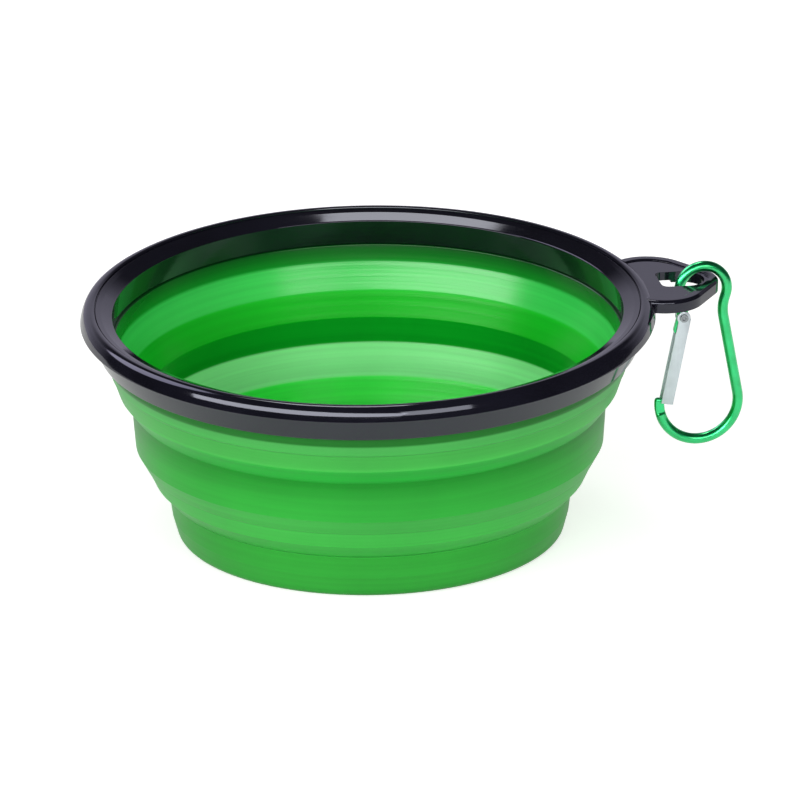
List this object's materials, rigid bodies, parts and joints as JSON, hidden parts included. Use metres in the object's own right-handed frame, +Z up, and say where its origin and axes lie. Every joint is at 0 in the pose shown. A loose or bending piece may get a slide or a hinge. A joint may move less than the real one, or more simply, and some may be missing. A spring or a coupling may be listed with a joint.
{
  "type": "collapsible pet bowl",
  "caption": "Round folding bowl with a stepped elastic wall, a glossy rim with a slotted carrying tab, and a small snap hook.",
  "frame": {"origin": "centre of the bowl's underside, on the surface it stands on", "axes": "+Z up through the mouth, +X from the bowl's centre out through the carrying tab"},
  "size_m": [0.1516, 0.13, 0.0566],
  "materials": {
    "rim_plastic": "glossy injection-moulded black",
    "bowl_elastomer": "satin moulded green",
    "hook_anodised": "glossy green anodised",
    "gate_metal": "satin bare sheet",
    "rivet_metal": "upset bare metal",
    "spring_wire": "bright drawn wire"
  },
  "bodies": {
    "rim": {"rim_frame": "rim_plastic", "carry_tab": "rim_plastic", "collar_ring": "bowl_elastomer", "upper_fold": "bowl_elastomer"},
    "middle": {"middle_ring": "bowl_elastomer", "lower_fold": "bowl_elastomer"},
    "base": {"base_cup": "bowl_elastomer"},
    "hook": {"hook_body": "hook_anodised", "gate_rivet": "rivet_metal"},
    "gate": {"hook_gate": "gate_metal", "gate_spring": "spring_wire"}
  },
  "joints": [
    {"name": "upper_collapse", "type": "slide", "parent": "rim", "child": "middle", "axis": [0, 0, 1], "range_m": [0, 0.0205], "deforming": ["upper_fold"]},
    {"name": "lower_collapse", "type": "slide", "parent": "middle", "child": "base", "axis": [0, 0, 1], "range_m": [0, 0.0205], "deforming": ["lower_fold"]},
    {"name": "hook_swing", "type": "hinge", "parent": "rim", "child": "hook", "pos_m": [0.07774, 0, 0.04994], "axis": [0, -1, 0], "range_deg": [-12, 180]},
    {"name": "gate_opening", "type": "hinge", "parent": "hook", "child": "gate", "pos_m": [0.07296, 0, 0.04371], "axis": [0, -1, 0], "range_deg": [0, 35], "stiffness_Nm_per_rad": 0.008, "springref_deg": -20.05}
  ]
}
